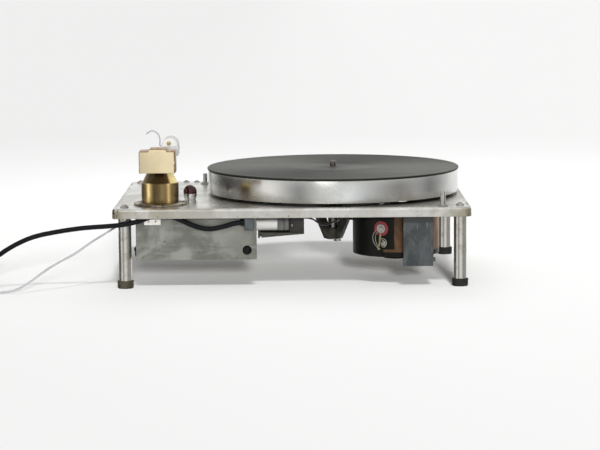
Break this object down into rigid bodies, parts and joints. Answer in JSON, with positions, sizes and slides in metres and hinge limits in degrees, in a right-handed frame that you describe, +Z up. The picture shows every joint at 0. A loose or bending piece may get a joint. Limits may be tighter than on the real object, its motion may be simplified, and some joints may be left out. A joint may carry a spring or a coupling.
{
  "type": "turntable record player",
  "caption": "Bare-chassis record player: heavy platter on a pressed plate with four legs, idler drive, brass-weighted tonearm, and the motor and power box hung beneath.",
  "frame": {"origin": "on the floor, under the middle of the object without its leads", "axes": "+Z up; -Y is the rear, where the leads leave; -X is the tonearm's side, +X the motor's side"},
  "size_m": [0.6225, 0.3626, 0.1597],
  "materials": {
    "plate": "satin",
    "leg_metal": "satin",
    "cap_metal": "satin",
    "foot_rubber": "matte",
    "screw_steel": "satin",
    "turned_aluminium": "satin",
    "mat_rubber": "matte",
    "spindle_steel": "satin",
    "bearing_steel": "satin",
    "bronze": "satin",
    "spider_iron": "matte",
    "motor_copper": "satin",
    "motor_black": "satin",
    "stator_steel": "matte",
    "coil_tape": "matte",
    "lever_steel": "satin",
    "idler_aluminium": "satin",
    "tyre_rubber": "matte",
    "junction_steel": "satin",
    "red_fibre": "matte",
    "tinned_tag": "satin",
    "box_aluminium": "matte",
    "transformer_steel": "matte",
    "board_brown": "matte",
    "black_plug": "gloss",
    "white_nylon": "satin",
    "capacitor_sleeve": "satin",
    "switch_phenolic": "satin",
    "bracket_steel": "matte",
    "bezel_chrome": "polished",
    "jewel_red": "gloss",
    "control_steel": "satin",
    "flange_steel": "satin",
    "pillar_brass": "polished",
    "yoke_steel": "satin",
    "weight_brass": "satin",
    "arm_enamel": "satin",
    "rest_white": "satin",
    "cartridge_black": "satin",
    "lift_wire": "satin",
    "wire_brown": "satin",
    "mains_pvc": "gloss",
    "plug_black": "satin",
    "signal_pvc": "satin",
    "signal_plug_metal": "satin"
  },
  "bodies": {
    "chassis": {"chassis_plate": "plate", "legs": "leg_metal", "leg_cap_screws": "cap_metal", "foot_rear_arm_side": "foot_rubber", "foot_rear_motor_side": "foot_rubber", "foot_front_arm_side": "foot_rubber", "foot_front_motor_side": "foot_rubber", "panel_screws": "screw_steel", "thrust_ball": "screw_steel", "spindle_bushes": "screw_steel", "bearing_housing": "bearing_steel", "bearing_end_nut": "bearing_steel", "bearing_bushes": "bronze", "bearing_spider": "spider_iron", "motor_can": "motor_copper", "motor_housing": "motor_black", "motor_base": "motor_black", "motor_stator": "stator_steel", "motor_coils": "coil_tape", "junction_box": "junction_steel", "red_washer": "red_fibre", "earth_terminals": "tinned_tag", "preamp_box": "box_aluminium", "transformer": "transformer_steel", "tag_board": "board_brown", "box_plugs": "black_plug", "terminal_block": "white_nylon", "run_capacitor": "capacitor_sleeve", "microswitch": "switch_phenolic", "rotary_switch": "switch_phenolic", "switch_bracket": "bracket_steel", "cable_clamp": "bracket_steel", "lamp_bezel": "bezel_chrome", "lamp_jewel": "jewel_red", "arm_base_flange": "flange_steel", "arm_pillar": "pillar_brass", "arm_rest": "rest_white", "hookup_wires": "wire_brown", "mains_lead": "mains_pvc", "mains_coil": "mains_pvc", "mains_plug": "plug_black", "signal_lead": "signal_pvc", "signal_coil": "signal_pvc", "signal_plug": "signal_plug_metal"},
    "platter": {"platter": "turned_aluminium", "platter_mat": "mat_rubber", "spindle": "spindle_steel"},
    "motor_rotor": {"motor_rotor": "stator_steel", "motor_shaft": "spindle_steel"},
    "idler_lever": {"idler_lever": "lever_steel"},
    "idler_wheel": {"idler_wheel": "idler_aluminium", "idler_tyre": "tyre_rubber"},
    "arm_yoke": {"arm_yoke": "yoke_steel"},
    "arm": {"arm_beam": "arm_enamel", "counterweight": "weight_brass", "headshell": "arm_enamel", "cartridge": "cartridge_black", "finger_lift": "lift_wire"},
    "switch_spindle": {"switch_spindle": "control_steel"},
    "speed_spindle": {"speed_spindle": "control_steel"}
  },
  "joints": [
    {"name": "platter_spin", "type": "hinge", "parent": "chassis", "child": "platter", "pos_m": [0.049, 0.005, 0.12], "axis": [0, 0, -1], "continuous": true},
    {"name": "motor_spin", "type": "hinge", "parent": "chassis", "child": "motor_rotor", "pos_m": [0.121, -0.085, 0.06], "axis": [0, 0, -1], "continuous": true},
    {"name": "idler_engage", "type": "hinge", "parent": "chassis", "child": "idler_lever", "pos_m": [0.09561, -0.06152, 0.1], "axis": [0, 0, 1], "range_deg": [0, 5], "stiffness_Nm_per_rad": 0.3, "springref_deg": -8.59},
    {"name": "idler_spin", "type": "hinge", "parent": "idler_lever", "child": "idler_wheel", "pos_m": [0.14061, -0.06452, 0.107], "axis": [0, 0, -1], "continuous": true},
    {"name": "arm_swing", "type": "hinge", "parent": "chassis", "child": "arm_yoke", "pos_m": [-0.151, -0.107, 0.13], "axis": [0, 0, -1], "range_deg": [0, 48]},
    {"name": "arm_lift", "type": "hinge", "parent": "arm_yoke", "child": "arm", "pos_m": [-0.151, -0.107, 0.142], "axis": [1, 0, 0], "range_deg": [0, 8]},
    {"name": "switch_turn", "type": "hinge", "parent": "chassis", "child": "switch_spindle", "pos_m": [-0.1084, 0.111, 0.095], "axis": [0, 0, -1], "range_deg": [0, 60]},
    {"name": "speed_turn", "type": "hinge", "parent": "chassis", "child": "speed_spindle", "pos_m": [0.1706, -0.1475, 0.095], "axis": [0, 0, -1], "range_deg": [0, 270]}
  ],
  "couplings": [
    {"joint": "motor_spin", "follows": "platter_spin", "ratio": -41.791},
    {"joint": "idler_spin", "follows": "platter_spin", "ratio": 5.6}
  ]
}
